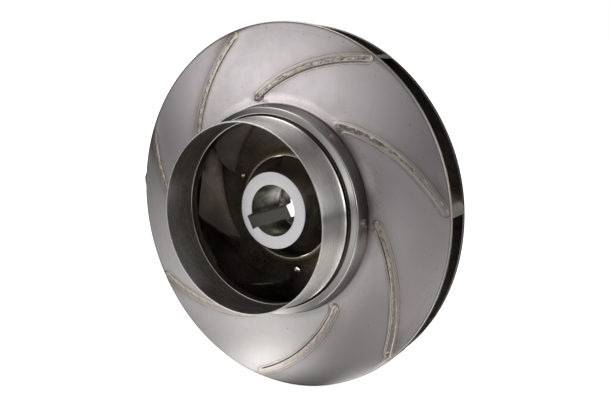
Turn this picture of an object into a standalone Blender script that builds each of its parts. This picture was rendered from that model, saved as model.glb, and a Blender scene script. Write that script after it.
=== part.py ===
"""Closed pump impeller, fabricated from stainless sheet, 200 mm across.

The impeller is modelled lying on the back face of its hub, with the shaft axis along Z and
the suction eye up, so a height is measured from that face. An empty then turns it upright:
the shaft axis lies along world Y and the eye looks towards -Y. All sizes are in metres.
"""

import math

import bmesh
import bpy
from mathutils import Matrix, Vector

# Whole impeller
OUTER_RADIUS = 0.100
OVERALL_LENGTH = 0.067
FIT_GAP = 0.0003
ROUND_STEPS = 70

# Suction ring, turned from tube and welded to the neck of the front shroud
RING_INNER_RADIUS = 0.0494
RING_OUTER_RADIUS = 0.0509
RING_FRONT_RADIUS = 0.0502
RING_REAR_HEIGHT = 0.0467
RING_CHAMFER = 0.0003

# Front shroud, pressed from sheet: its neck has a spigot for the ring, a groove and a roll
FRONT_SHEET = 0.0020
FRONT_RIM_HEIGHT = 0.0301
FRONT_RISE = 0.0066
FRONT_EASE = 0.0023
FRONT_RISE_SPAN = 0.050
NECK_LIP_RADIUS = 0.0492
NECK_LIP_HEIGHT = 0.0447
NECK_SHOULDER_RADIUS = 0.0553
NECK_SHOULDER_HEIGHT = 0.0433
NECK_FOOT_RADIUS = 0.0570
NECK_SHOULDER_FILLET = 0.0030
NECK_FOOT_FILLET = 0.0003
SPIGOT_INNER_RADIUS = 0.0489
SPIGOT_OUTER_RADIUS = 0.0506
SPIGOT_HEIGHT = 0.0464
GROOVE_RADIUS = 0.0513
GROOVE_HEIGHT = 0.0438
ROLL_INNER_RADIUS = 0.0524
ROLL_INNER_HEIGHT = 0.0447
ROLL_INNER_FILLET = 0.0008
ROLL_OUTER_RADIUS = 0.0557
ROLL_OUTER_HEIGHT = 0.0433
ROLL_OUTER_FILLET = 0.0010

# Back shroud, pressed from sheet and dished up to the hub
BACK_SHEET = 0.0020
BACK_RIM_RADIUS = 0.0989
BACK_FLAT_HEIGHT = 0.0129
BACK_FLAT_RADIUS = 0.072
BACK_DISH_RISE = 0.0121
BACK_DISH_POWER = 2.5
BACK_HOLE_RADIUS = 0.0285

# Hub, turned from bar, with a keyed bore
HUB_LENGTH = 0.038
HUB_FACE_RADIUS = 0.0209
HUB_BOSS_RADIUS = 0.0210
HUB_FLANGE_RADIUS = BACK_HOLE_RADIUS - FIT_GAP
HUB_FLANGE_TOP = 0.0256
HUB_FLANGE_BOTTOM = 0.0215
HUB_ROUND_STEPS = 48
BORE_RADIUS = 0.0140
BORE_RECESS_RADIUS = 0.0145
BORE_RECESS_START = 0.0104
BORE_RECESS_END = 0.0120
HUB_CHAMFER = 0.0004
KEYWAY_WIDTH = 0.008
KEYWAY_FLOOR_RADIUS = 0.0173
KEYWAY_ANGLE = math.radians(208.35)

# Balance holes, square to the sheet of the back shroud
BALANCE_HOLE_COUNT = 3
BALANCE_HOLE_RADIUS = 0.0019
BALANCE_HOLE_PITCH_RADIUS = 0.0363
BALANCE_HOLE_FIRST_ANGLE = math.radians(276.0)

# Vanes: the blade angle is constant outside the knee and flattens steadily inside it, and the
# front edge leaves the shroud before the neck
VANE_COUNT = 7
VANE_PITCH = 2.0 * math.pi / VANE_COUNT
VANE_SHEET = 0.0013
VANE_RUNOUT_RADIUS = 0.1008
VANE_FRONT_TRIM_RADIUS = 0.1000
VANE_BACK_TRIM_RADIUS = 0.0993
VANE_TIP_ANGLE = math.radians(104.9)
VANE_TIP_LEAD = math.radians(1.7)
VANE_LEAD_RADIUS = 0.080
BLADE_ANGLE = math.radians(30.1)
KNEE_RADIUS = 0.061
KNEE_FLATTENING = 172.0
VANE_ROOT_RADIUS = 0.0446
VANE_LEAVING_RADIUS = 0.0575
VANE_NOSE_RADIUS = 0.0490
VANE_NOSE_SWEEP = 140.0
VANE_EDGE_GAP = 0.0004
VANE_ROWS = 22
VANE_COLUMNS = 3

# Weld beads
BEAD_WIDTH = 0.0036
BEAD_HEIGHT = 0.0006
BEAD_ROWS = 12
BEAD_COLUMNS = 2
FRONT_BEAD_INNER_RADIUS = 0.0605
REAR_BEAD_INNER_RADIUS = 0.0470
FRONT_BEAD_OUTER_RADIUS = 0.0980
REAR_BEAD_OUTER_RADIUS = 0.0950
HUB_BEAD_WIDTH = 0.0040
HUB_BEAD_HEIGHT = 0.0010

# Colours: base colour, roughness
STEELS = {
    "pressed": ((0.52, 0.49, 0.50), 0.42),
    "turned": ((0.50, 0.50, 0.47), 0.28),
    "faced": ((0.74, 0.72, 0.73), 0.40),
    "vane": ((0.30, 0.28, 0.26), 0.38),
    "weld": ((0.43, 0.38, 0.35), 0.45),
}


def clear_scene():
    """Removes whatever the scene already holds."""
    for item in list(bpy.data.objects):
        bpy.data.objects.remove(item, do_unlink=True)


def new_collection(name):
    """Makes a collection under the scene's own."""
    collection = bpy.data.collections.new(name)
    bpy.context.scene.collection.children.link(collection)
    return collection


def steel(name, kind):
    """Makes one node's own steel material."""
    colour, roughness = STEELS[kind]
    material = bpy.data.materials.new(name + "_steel")
    material.use_nodes = True
    shader = material.node_tree.nodes["Principled BSDF"]
    shader.inputs["Base Color"].default_value = (*colour, 1.0)
    shader.inputs["Metallic"].default_value = 1.0
    shader.inputs["Roughness"].default_value = roughness
    return material


def add_object(name, mesh, kind, collection, axis):
    """Puts a mesh in the scene as one named piece carried by the axis empty."""
    item = bpy.data.objects.new(name, mesh)
    collection.objects.link(item)
    item.parent = axis
    if kind:
        mesh.materials.append(steel(name, kind))
        mesh.shade_smooth()
        mesh.set_sharp_from_angle(angle=math.radians(30.0))
    return item


def add_axis(collection):
    """Adds the shaft axis: an empty that turns the impeller from lying to upright."""
    axis = bpy.data.objects.new("shaft_axis", None)
    axis.rotation_euler = (math.radians(90.0), 0.0, 0.0)
    collection.objects.link(axis)
    return axis


def turned(name, profile, steps, kind, collection, axis):
    """Turns a closed profile of (radius, height) points about the shaft axis."""
    builder = bmesh.new()
    points = [builder.verts.new((radius, 0.0, height)) for radius, height in profile]
    for first, second in zip(points, points[1:] + points[:1]):
        builder.edges.new((first, second))
    mesh = bpy.data.meshes.new(name)
    builder.to_mesh(mesh)
    builder.free()
    item = add_object(name, mesh, kind, collection, axis)
    screw = item.modifiers.new("turn", "SCREW")
    screw.steps = steps
    screw.render_steps = steps
    screw.use_merge_vertices = True
    screw.merge_threshold = 0.00001
    screw.use_smooth_shade = True
    return item


def cut(item, cutter):
    """Cuts one piece with a cutter that is not itself shown."""
    cutter.hide_render = True
    cutter.display_type = "WIRE"
    boolean = item.modifiers.new("cut_" + cutter.name, "BOOLEAN")
    boolean.operation = "DIFFERENCE"
    boolean.solver = "EXACT"
    boolean.object = cutter


def fillet(before, corner, after, radius, steps):
    """Rounds the corner of a profile and gives the arc's points."""
    corner = Vector(corner)
    to_before = (Vector(before) - corner).normalized()
    to_after = (Vector(after) - corner).normalized()
    half = to_before.angle(to_after) / 2.0
    centre = corner + (to_before + to_after).normalized() * radius / math.sin(half)
    start = corner + to_before * radius / math.tan(half) - centre
    sweep = start.angle_signed(corner + to_after * radius / math.tan(half) - centre)
    arc = []
    for step in range(steps + 1):
        spoke = Matrix.Rotation(-sweep * step / steps, 2) @ start
        arc.append(tuple(centre + spoke))
    return arc


def offset_profile(points, distance):
    """Moves an open profile sideways, to the right of its run for a positive distance."""
    moved = []
    for index, point in enumerate(points):
        normals = []
        for first, second in ((index - 1, index), (index, index + 1)):
            if first >= 0 and second < len(points):
                run = (Vector(points[second]) - Vector(points[first])).normalized()
                normals.append(Vector((run.y, -run.x)))
        normal = sum(normals, Vector((0.0, 0.0))).normalized()
        stretch = 1.0 / max(normal.dot(normals[0]), 0.5)
        moved.append(tuple(Vector(point) + normal * distance * stretch))
    return moved


def profile_height(profile, radius):
    """Reads the height of a profile, whose radii grow, at one radius."""
    for (low, low_height), (high, high_height) in zip(profile, profile[1:]):
        if low <= radius <= high:
            share = (radius - low) / (high - low)
            return low_height + (high_height - low_height) * share
    return profile[0][1] if radius < profile[0][0] else profile[-1][1]


def disc_height(radius):
    """Height of the front shroud's outer face on its disc, outside the neck."""
    inward = (OUTER_RADIUS - radius) / FRONT_RISE_SPAN
    return FRONT_RIM_HEIGHT + FRONT_RISE * inward - FRONT_EASE * inward ** 2


def disc_profile():
    """The front shroud's outer face, outside the neck."""
    return [(radius, disc_height(radius)) for radius in (0.066, 0.074, 0.082, 0.091, OUTER_RADIUS)]


def front_outer_profile():
    """Outer face of the front shroud: the spigot, groove, roll, neck and disc."""
    groove = (GROOVE_RADIUS, GROOVE_HEIGHT)
    roll_inner = (ROLL_INNER_RADIUS, ROLL_INNER_HEIGHT)
    roll_outer = (ROLL_OUTER_RADIUS, ROLL_OUTER_HEIGHT)
    foot = (NECK_FOOT_RADIUS, disc_height(NECK_FOOT_RADIUS))
    disc = disc_profile()
    points = [
        (SPIGOT_INNER_RADIUS, SPIGOT_HEIGHT),
        (SPIGOT_OUTER_RADIUS, SPIGOT_HEIGHT),
        (SPIGOT_OUTER_RADIUS + 0.0001, GROOVE_HEIGHT),
        groove,
    ]
    points += fillet(groove, roll_inner, roll_outer, ROLL_INNER_FILLET, 2)
    points += fillet(roll_inner, roll_outer, foot, ROLL_OUTER_FILLET, 3)
    points += fillet(roll_outer, foot, disc[0], NECK_FOOT_FILLET, 3)
    return points + disc


def front_inner_profile():
    """Inner face of the front shroud, from the neck's lip to the rim."""
    lip = (NECK_LIP_RADIUS, NECK_LIP_HEIGHT)
    shoulder = (NECK_SHOULDER_RADIUS, NECK_SHOULDER_HEIGHT)
    foot = (NECK_FOOT_RADIUS, disc_height(NECK_FOOT_RADIUS))
    disc = disc_profile()
    points = [lip]
    points += fillet(lip, shoulder, foot, NECK_SHOULDER_FILLET, 3)
    points += fillet(shoulder, foot, disc[0], NECK_FOOT_FILLET, 3)
    points = offset_profile(points + disc, FRONT_SHEET)
    points[-1] = (OUTER_RADIUS, points[-1][1])
    return points


def back_height(radius):
    """Height of the back shroud's inner face, which the vanes stand on."""
    span = BACK_FLAT_RADIUS - BACK_HOLE_RADIUS
    share = min(1.0, (radius - BACK_HOLE_RADIUS) / span)
    return BACK_FLAT_HEIGHT + BACK_DISH_RISE * (1.0 - share) ** BACK_DISH_POWER


def back_inner_profile():
    """Inner face of the back shroud, from the hub to the rim."""
    radii = [BACK_HOLE_RADIUS, 0.032, 0.036, 0.041, 0.047, 0.055, 0.064, BACK_RIM_RADIUS]
    return [(radius, back_height(radius)) for radius in radii]


def back_rear_profile():
    """Rear face of the back shroud, one sheet below the inner face."""
    points = offset_profile(back_inner_profile(), BACK_SHEET)
    points[0] = (BACK_HOLE_RADIUS, points[0][1] - 0.0008)
    points[-1] = (BACK_RIM_RADIUS, points[-1][1])
    return points


def seam_angle(radius):
    """Angle of the first weld seam about the axis at one radius."""
    slope = 1.0 / math.tan(BLADE_ANGLE)
    outer = max(radius, KNEE_RADIUS)
    angle = VANE_TIP_ANGLE + slope * math.log(OUTER_RADIUS / outer)
    if radius < KNEE_RADIUS:
        steepened = slope + KNEE_FLATTENING * KNEE_RADIUS
        angle += steepened * math.log(KNEE_RADIUS / radius)
        angle -= KNEE_FLATTENING * (KNEE_RADIUS - radius)
    return angle


def vane_angle(radius):
    """Angle of the first vane, which leads its seam a little at the rim."""
    share = max(0.0, (radius - VANE_LEAD_RADIUS) / (OUTER_RADIUS - VANE_LEAD_RADIUS))
    return seam_angle(radius) + VANE_TIP_LEAD * share ** 2


def point_beside(angle_at, radius, turn, sideways):
    """A point beside a line about the axis: its x and y with the axis upright."""
    step = 0.00005
    here = angle_at(radius) + turn
    ahead = angle_at(radius + step) + turn
    middle = Vector((radius * math.cos(here), radius * math.sin(here)))
    further = Vector(((radius + step) * math.cos(ahead), (radius + step) * math.sin(ahead)))
    run = (further - middle).normalized()
    return middle + Vector((run.y, -run.x)) * sideways


def mapped_slab(name, rows, columns, place, kind, collection, axis):
    """Bends a flat slab: place(u, v, w) gives the point for shares from 0 to 1."""
    builder = bmesh.new()
    bmesh.ops.create_grid(builder, x_segments=rows, y_segments=columns, size=0.5)
    raised = bmesh.ops.extrude_face_region(builder, geom=builder.faces[:])
    tops = [part for part in raised["geom"] if isinstance(part, bmesh.types.BMVert)]
    bmesh.ops.translate(builder, verts=tops, vec=(0.0, 0.0, 1.0))
    for vertex in builder.verts:
        vertex.co = place(vertex.co.x + 0.5, vertex.co.y + 0.5, vertex.co.z)
    bmesh.ops.recalc_face_normals(builder, faces=builder.faces[:])
    if builder.calc_volume(signed=True) < 0.0:
        bmesh.ops.reverse_faces(builder, faces=builder.faces[:])
    mesh = bpy.data.meshes.new(name)
    builder.to_mesh(mesh)
    builder.free()
    return add_object(name, mesh, kind, collection, axis)


def add_wear_ring(collection, axis):
    """The thin turned ring round the suction eye."""
    chamfer = RING_CHAMFER
    profile = [
        (RING_INNER_RADIUS + chamfer, OVERALL_LENGTH),
        (RING_FRONT_RADIUS - chamfer, OVERALL_LENGTH),
        (RING_FRONT_RADIUS, OVERALL_LENGTH - chamfer),
        (RING_OUTER_RADIUS, RING_REAR_HEIGHT),
        (RING_INNER_RADIUS, RING_REAR_HEIGHT),
        (RING_INNER_RADIUS, OVERALL_LENGTH - chamfer),
    ]
    turned("wear_ring", profile, ROUND_STEPS, "turned", collection, axis)


def add_front_shroud(collection, axis):
    """The pressed shroud on the suction side, with its neck."""
    profile = front_outer_profile() + front_inner_profile()[::-1]
    turned("front_shroud", profile, ROUND_STEPS, "pressed", collection, axis)


def add_back_shroud(collection, cutters, axis):
    """The dished shroud on the shaft side, with its balance holes."""
    profile = back_inner_profile() + back_rear_profile()[::-1]
    shroud = turned("back_shroud", profile, ROUND_STEPS, "pressed", collection, axis)
    radius = BALANCE_HOLE_PITCH_RADIUS
    lean = math.atan2(back_height(radius) - back_height(radius + 0.0001), 0.0001)
    for index in range(BALANCE_HOLE_COUNT):
        angle = BALANCE_HOLE_FIRST_ANGLE + index * 2.0 * math.pi / BALANCE_HOLE_COUNT
        builder = bmesh.new()
        bmesh.ops.create_cone(builder, cap_ends=True, segments=16, depth=BACK_SHEET * 4.0,
                              radius1=BALANCE_HOLE_RADIUS, radius2=BALANCE_HOLE_RADIUS)
        mesh = bpy.data.meshes.new("balance_drill")
        builder.to_mesh(mesh)
        builder.free()
        drill = add_object(f"balance_drill_{index + 1}", mesh, None, cutters, axis)
        drill.location = (radius * math.cos(angle), radius * math.sin(angle),
                          back_height(radius))
        drill.rotation_euler = (0.0, lean, angle)
        cut(shroud, drill)


def add_hub(collection, cutters, axis):
    """The turned hub: face, cone, flange, rear boss, recessed bore and keyway."""
    chamfer = HUB_CHAMFER
    boss_top = HUB_FLANGE_BOTTOM - 0.001
    profile = [
        (BORE_RADIUS + chamfer, HUB_LENGTH),
        (HUB_FACE_RADIUS, HUB_LENGTH),
        (HUB_FLANGE_RADIUS, HUB_FLANGE_TOP),
        (HUB_FLANGE_RADIUS, HUB_FLANGE_BOTTOM),
        (HUB_BOSS_RADIUS, boss_top),
        (HUB_BOSS_RADIUS, chamfer),
        (HUB_BOSS_RADIUS - chamfer, 0.0),
        (BORE_RADIUS, 0.0),
        (BORE_RADIUS, BORE_RECESS_START),
        (BORE_RECESS_RADIUS, BORE_RECESS_START),
        (BORE_RECESS_RADIUS, BORE_RECESS_END),
        (BORE_RADIUS, BORE_RECESS_END),
        (BORE_RADIUS, HUB_LENGTH - chamfer),
    ]
    hub = turned("hub", profile, HUB_ROUND_STEPS, "faced", collection, axis)
    builder = bmesh.new()
    bmesh.ops.create_cube(builder, size=1.0)
    key_size = (KEYWAY_FLOOR_RADIUS, KEYWAY_WIDTH, HUB_LENGTH * 1.5)
    bmesh.ops.scale(builder, vec=key_size, verts=builder.verts[:])
    bmesh.ops.translate(builder, verts=builder.verts[:],
                        vec=(KEYWAY_FLOOR_RADIUS / 2.0, 0.0, HUB_LENGTH / 2.0))
    mesh = bpy.data.meshes.new("keyway_broach")
    builder.to_mesh(mesh)
    builder.free()
    broach = add_object("keyway_broach", mesh, None, cutters, axis)
    broach.rotation_euler = (0.0, 0.0, KEYWAY_ANGLE)
    cut(hub, broach)


def add_vanes(collection, axis):
    """Seven sheet vanes that stand on the back shroud and carry the front one."""
    front = front_inner_profile()
    back = back_inner_profile()
    leaving_height = profile_height(front, VANE_LEAVING_RADIUS) - VANE_EDGE_GAP

    def top_height(radius):
        if radius > VANE_LEAVING_RADIUS:
            return profile_height(front, radius) - VANE_EDGE_GAP
        inward = VANE_LEAVING_RADIUS - max(radius, VANE_NOSE_RADIUS)
        return leaving_height + VANE_NOSE_SWEEP * inward ** 2

    def bottom_height(radius):
        return profile_height(back, radius) + VANE_EDGE_GAP

    for index in range(VANE_COUNT):
        turn = -index * VANE_PITCH

        def place(u, v, w):
            lead = VANE_ROOT_RADIUS + (VANE_NOSE_RADIUS - VANE_ROOT_RADIUS) * v
            radius = lead + (VANE_RUNOUT_RADIUS - lead) * u ** 1.3
            point = point_beside(vane_angle, radius, turn, (w - 0.5) * VANE_SHEET)
            trim = VANE_BACK_TRIM_RADIUS + (VANE_FRONT_TRIM_RADIUS - VANE_BACK_TRIM_RADIUS) * v
            point *= min(1.0, trim / point.length)
            low = bottom_height(point.length)
            high = top_height(point.length)
            return Vector((point.x, point.y, low + (high - low) * v))

        mapped_slab(f"vane_{index + 1}", VANE_ROWS, VANE_COLUMNS, place, "vane",
                    collection, axis)


def add_seam_beads(name, face, side, inner_radius, outer_radius, collection, axis):
    """Weld beads over the vanes' edges, on one face of a shroud."""
    for index in range(VANE_COUNT):
        turn = -index * VANE_PITCH

        def place(u, v, w):
            radius = inner_radius + (outer_radius - inner_radius) * u
            end_taper = min(1.0, 4.0 * min(u, 1.0 - u) + 0.35)
            point = point_beside(seam_angle, radius, turn, (v - 0.5) * BEAD_WIDTH * end_taper)
            crown = 0.35 + 0.65 * math.sin(math.pi * v)
            lift = FIT_GAP + w * BEAD_HEIGHT * crown
            return Vector((point.x, point.y, profile_height(face, point.length) + side * lift))

        mapped_slab(f"{name}_{index + 1}", BEAD_ROWS, BEAD_COLUMNS, place, "weld",
                    collection, axis)


def add_hub_bead(name, face, side, collection, axis):
    """A weld bead round the hub's flange, on one face of the back shroud."""
    inner = BACK_HOLE_RADIUS + FIT_GAP
    seat = []
    crown = []
    for step in range(7):
        share = step / 6.0
        radius = inner + HUB_BEAD_WIDTH * share
        height = profile_height(face, radius) + side * FIT_GAP * 1.3
        rise = HUB_BEAD_HEIGHT * (0.15 + 0.85 * math.sin(math.pi * share ** 0.7))
        seat.append((radius, height))
        crown.append((radius, height + side * rise))
    if side > 0:
        profile = crown + seat[::-1]
    else:
        profile = seat + crown[::-1]
    turned(name, profile, HUB_ROUND_STEPS, "weld", collection, axis)


def main():
    """Builds the whole impeller."""
    clear_scene()
    impeller = new_collection("pump_impeller")
    cutters = new_collection("cutters")
    axis = add_axis(impeller)
    add_wear_ring(impeller, axis)
    add_front_shroud(impeller, axis)
    add_back_shroud(impeller, cutters, axis)
    add_hub(impeller, cutters, axis)
    add_vanes(impeller, axis)
    add_seam_beads("front_weld", front_outer_profile(), 1.0, FRONT_BEAD_INNER_RADIUS,
                   FRONT_BEAD_OUTER_RADIUS, impeller, axis)
    add_seam_beads("rear_weld", back_rear_profile(), -1.0, REAR_BEAD_INNER_RADIUS,
                   REAR_BEAD_OUTER_RADIUS, impeller, axis)
    add_hub_bead("hub_weld_front", back_inner_profile(), 1.0, impeller, axis)
    add_hub_bead("hub_weld_rear", back_rear_profile(), -1.0, impeller, axis)


main()
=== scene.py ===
"""Looks of the closed pump impeller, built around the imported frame.

A place on the impeller is given by its radius, its angle about the shaft axis and its
height: the distance in front of the hub's back face. Seen from the suction eye, angles
start at the right and run anticlockwise. All sizes are in metres.
"""

import math

import bmesh
import bpy
from mathutils import Matrix, Vector, noise


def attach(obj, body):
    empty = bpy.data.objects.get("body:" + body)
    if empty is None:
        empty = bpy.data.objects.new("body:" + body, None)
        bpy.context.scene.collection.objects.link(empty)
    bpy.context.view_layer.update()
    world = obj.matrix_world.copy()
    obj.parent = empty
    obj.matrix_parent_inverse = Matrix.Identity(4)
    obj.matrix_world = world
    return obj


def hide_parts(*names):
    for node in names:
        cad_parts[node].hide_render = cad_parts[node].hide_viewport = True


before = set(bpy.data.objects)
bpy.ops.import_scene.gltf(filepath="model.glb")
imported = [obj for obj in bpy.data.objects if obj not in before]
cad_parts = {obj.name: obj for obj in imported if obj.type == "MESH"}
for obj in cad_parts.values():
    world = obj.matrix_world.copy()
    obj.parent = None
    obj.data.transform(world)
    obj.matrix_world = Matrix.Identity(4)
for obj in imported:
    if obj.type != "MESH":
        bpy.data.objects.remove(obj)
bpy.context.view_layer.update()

# Camera, fitted to outlines measured in the photograph
CAMERA_PLACE = (0.26322, -0.40805, 0.08621)
CAMERA_AZIMUTH = math.radians(33.23)
CAMERA_ELEVATION = math.radians(10.28)
CAMERA_LENS = 50.72
CAMERA_SENSOR = 36.0

# Whole impeller
OUTER_RADIUS = 0.100
OVERALL_LENGTH = 0.067

# Suction ring
RING_INNER_RADIUS = 0.0494
RING_OUTER_RADIUS = 0.0509
RING_FRONT_RADIUS = 0.0502
RING_REAR_HEIGHT = 0.0467

# Front shroud
FRONT_SHEET = 0.0020
FRONT_RIM_HEIGHT = 0.0301
FRONT_RISE = 0.0066
FRONT_EASE = 0.0023
FRONT_RISE_SPAN = 0.050
DISC_START_RADIUS = 0.066     # outside the fillet at the neck's foot
NECK_LIP_RADIUS = 0.0492
NECK_LIP_HEIGHT = 0.0447
NECK_SHOULDER_RADIUS = 0.0553
NECK_SHOULDER_HEIGHT = 0.0433
NECK_FOOT_RADIUS = 0.0570
NECK_SHOULDER_FILLET = 0.0030
NECK_FOOT_FILLET = 0.0003
SPIGOT_INNER_RADIUS = 0.0489
SPIGOT_OUTER_RADIUS = 0.0506
SPIGOT_HEIGHT = 0.0464
SPIGOT_FOOT_FILLET = 0.0003
SPIGOT_TAPER = 0.0001
GROOVE_RADIUS = 0.0513
GROOVE_HEIGHT = 0.0438
ROLL_INNER_RADIUS = 0.0524
ROLL_INNER_HEIGHT = 0.0447
ROLL_INNER_FILLET = 0.0008
ROLL_OUTER_RADIUS = 0.0557
ROLL_OUTER_HEIGHT = 0.0433
ROLL_OUTER_FILLET = 0.0010

# Back shroud
BACK_SHEET = 0.0020
BACK_RIM_RADIUS = 0.0989
BACK_FLAT_HEIGHT = 0.0129
BACK_FLAT_RADIUS = 0.072
BACK_DISH_RISE = 0.0121
BACK_DISH_POWER = 2.5
BACK_HOLE_RADIUS = 0.0285

# Hub
HUB_LENGTH = 0.038
HUB_FACE_RADIUS = 0.0209
HUB_BOSS_RADIUS = 0.0210
HUB_FLANGE_RADIUS = 0.0282
HUB_FLANGE_TOP = 0.0256
HUB_FLANGE_BOTTOM = 0.0215
BORE_RADIUS = 0.0140
BORE_RECESS_RADIUS = 0.0145
BORE_RECESS_START = 0.0104
BORE_RECESS_END = 0.0120
KEYWAY_WIDTH = 0.008
KEYWAY_FLOOR_RADIUS = 0.0173
KEYWAY_ANGLE = math.radians(208.35)

# Balance holes
BALANCE_HOLE_COUNT = 3
BALANCE_HOLE_RADIUS = 0.0019
BALANCE_HOLE_PITCH_RADIUS = 0.0363
BALANCE_HOLE_FIRST_ANGLE = math.radians(276.0)

# Vanes
VANE_COUNT = 7
VANE_PITCH = 2.0 * math.pi / VANE_COUNT
VANE_SHEET = 0.0013
VANE_RUNOUT_RADIUS = 0.1008
VANE_FRONT_TRIM_RADIUS = 0.1000
VANE_BACK_TRIM_RADIUS = 0.0993
VANE_TIP_ANGLE = math.radians(104.9)
VANE_TIP_LEAD = math.radians(1.7)
VANE_LEAD_RADIUS = 0.080
BLADE_ANGLE = math.radians(30.1)
KNEE_RADIUS = 0.061
KNEE_FLATTENING = 172.0
VANE_ROOT_RADIUS = 0.0446
VANE_LEAVING_RADIUS = 0.0575
VANE_NOSE_RADIUS = 0.0490
VANE_NOSE_SWEEP = 140.0
VANE_NOSE_BOW = 1.6           # 1 for a straight leading edge, more for a fuller one

# Weld seams
BEAD_HALF_WIDTH = 0.0016
BEAD_HEIGHT = 0.00028
BEAD_RIDGE = 0.00018
BEAD_SINK = 0.0004
FRONT_BEAD_INNER_RADIUS = 0.0605
REAR_BEAD_INNER_RADIUS = 0.0470
BEAD_OUTER_RADIUS = 0.0983
REAR_BEAD_OUTER_RADIUS = 0.0950
SHORT_BEAD = 7
SHORT_BEAD_OUTER_RADIUS = 0.0950
HUB_BEAD_WIDTH = 0.0040
HUB_BEAD_HEIGHT = 0.0010
CREVICE_OFFSET = -0.00180
CREVICE_DEPTH = 0.00040
CREVICE_HALF_WIDTH = 0.00024
BURR_ANGLE = 175.0            # the burr on the rim, in degrees
BURR_RISE_SPAN = 1.2
BURR_FALL_SPAN = 2.4
BURR_HEIGHT = 0.0013
BURR_DEPTH = 0.0012           # how far in from the rim the burr starts
BALL_HEIGHT = 0.00035         # how far a bead's inner end stands above the rest
LIP_OFFSET = 0.0012           # from a bead's middle to the painted highlight on its edge
LIP_END_REACH = 0.0006
SOOT_BAND = (-0.0002, 0.0019)
TINT_OFFSET = 0.0030
TINT_FRINGE_OFFSET = 0.0064
TINT_SPOT_RADIUS = 0.0972     # the darker spot of tint beside each seam's outer end
TINT_SPOT_OFFSET = 0.0034
TINT_TAPER = 0.0040           # how far from a bead's end, along it, the tint closes in
TINT_CLOSING = 0.68           # how blunt the tint's end is
# For each seam: how dark the painted shade in its crevice is (which also sets how deep the
# crevice is cut) and how dark its soot is, and how bright the painted highlights on its two
# edges are, on the axis side and on the outer side
SEAM_LOOKS = (
    (0.45, 0.35, 0.15, 0.30),
    (0.70, 0.30, 1.00, 0.20),
    (0.12, 1.00, 0.05, 1.00),
    (0.95, 0.45, 0.15, 0.35),
    (1.00, 0.12, 0.20, 0.45),
    (0.55, 0.25, 0.15, 0.30),
    (0.50, 0.25, 0.15, 0.30),
)
# Small craters: seam, distance from its outer end, place aside, half length, half width.
# Their places were worked out by a script from pixels read by eye, and some then moved.
CRATERS = (
    (2, 0.0040, -0.0004, 0.0019, 0.00055),
    (2, 0.0152, -0.0002, 0.0024, 0.00055),
    (3, 0.0028, -0.0003, 0.0016, 0.00050),
    (3, 0.0060, -0.0010, 0.0016, 0.00045),
    (4, 0.0033, 0.0000, 0.0009, 0.00050),
    (4, 0.0006, -0.0004, 0.0008, 0.00040),
    (4, 0.0544, 0.0014, 0.0007, 0.00045),
    (5, 0.0723, 0.0002, 0.0011, 0.00045),
)
CRATER_DEPTH = 0.00030

# Where a finish, a painted shade or a painted highlight starts and ends, as radii
FAINT_LINE = (0.0952, 0.0005)         # radius and half width
BRINK_LINE = (0.0994, 0.0005)
RIM_CORNER_ZONE = (0.09975, 0.09988)
NECK_ZONE = (0.0562, 0.0574)
FLANK_ZONE = (0.0558, 0.0561)
FOOT_ZONE = (0.0567, 0.0569)
FOOT_EDGE_ZONE = (0.0573, 0.0577)
FOOT_SHADE_ZONE = (0.0580, 0.0625)
TRENCH_ZONE = (0.0521, 0.0526)
SMOOTH_ZONE = (0.0600, 0.0640)
RING_OUTSIDE_ZONE = (0.0497, 0.0500)
BORE_ZONE = (0.0147, 0.0150)
VANE_END_ZONE = (0.0966, 0.0984)
BACK_RIM_ZONE = (0.0930, 0.0985)
HUB_HEAT_ZONE = (0.0330, 0.0420)
HUB_HEAT_LINE = (0.0350, 0.0008)      # radius and half width
HUB_BEAD_EDGE_ZONE = (0.02865, 0.02880)
# And as heights, in front of the hub's back face or, for the hue, above the axis
HUB_FACE_ZONE = (0.03785, 0.03795)
VANE_FOOT_ZONE = (0.0150, 0.0190)
HUE_ZONE = (-0.070, 0.040)

# The rows of both light tables come from longer ones that a script had fitted to the
# photograph's brightness. They were merged, rounded and adjusted.
# Light from the room: azimuth and elevation it comes from, spread in degrees, strength
ROOM_LIGHTS = (
    (234.0, 2.0, 9.0, 2.2),      # low on the left, for the disc and the hub's face
    (238.0, 54.0, 17.0, 0.8),    # high on the left
    (284.0, 4.0, 8.0, 1.1),      # low beside the camera, for the ring and the roll
    (280.0, 25.0, 11.0, 0.5),    # the same panel's upper half
    (342.0, 46.0, 13.0, 0.5),    # high on the right
    (160.0, 66.0, 13.0, 2.9),    # high behind, on the left
    (8.0, 12.0, 13.0, 2.4),      # low behind, on the right
    (36.0, 30.0, 16.0, 0.5),     # further behind
)
# Light off the floor: azimuth, distance from the impeller, how many times nearer or further
# it reaches, spread in degrees, strength
FLOOR_LIGHTS = (
    (245.0, 0.05, 1.4, 22.0, 1.2),    # close in front, on the left
    (236.0, 0.22, 2.7, 23.0, 1.1),    # long glow in front, on the left
    (293.0, 0.35, 2.7, 8.0, 0.6),     # narrow strip in front
    (319.0, 0.06, 1.5, 7.0, 1.7),     # under the disc's right side
    (332.0, 0.16, 1.5, 8.0, 2.0),
    (350.0, 0.65, 2.0, 8.0, 1.4),     # far on the right
    (88.0, 0.25, 1.5, 15.0, 0.9),     # behind
    (30.0, 0.60, 1.5, 13.0, 0.5),
)
FLOOR_WHITE = 0.90            # what the floor paper shows before any light falls on it
FLOOR_SIZE = 30.0
FLOOR_GAP = 0.0003

MILLIMETRE = 0.001
PROFILE_SPACING = 0.0014
SHARP_ANGLE = math.radians(32.0)
UNROLLED_RADIUS = 0.07        # where the unrolled arc length is true


def place_at(radius, angle, height):
    """The world point for a radius, angle and height on the impeller."""
    return Vector((radius * math.cos(angle), -height, radius * math.sin(angle)))


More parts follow.
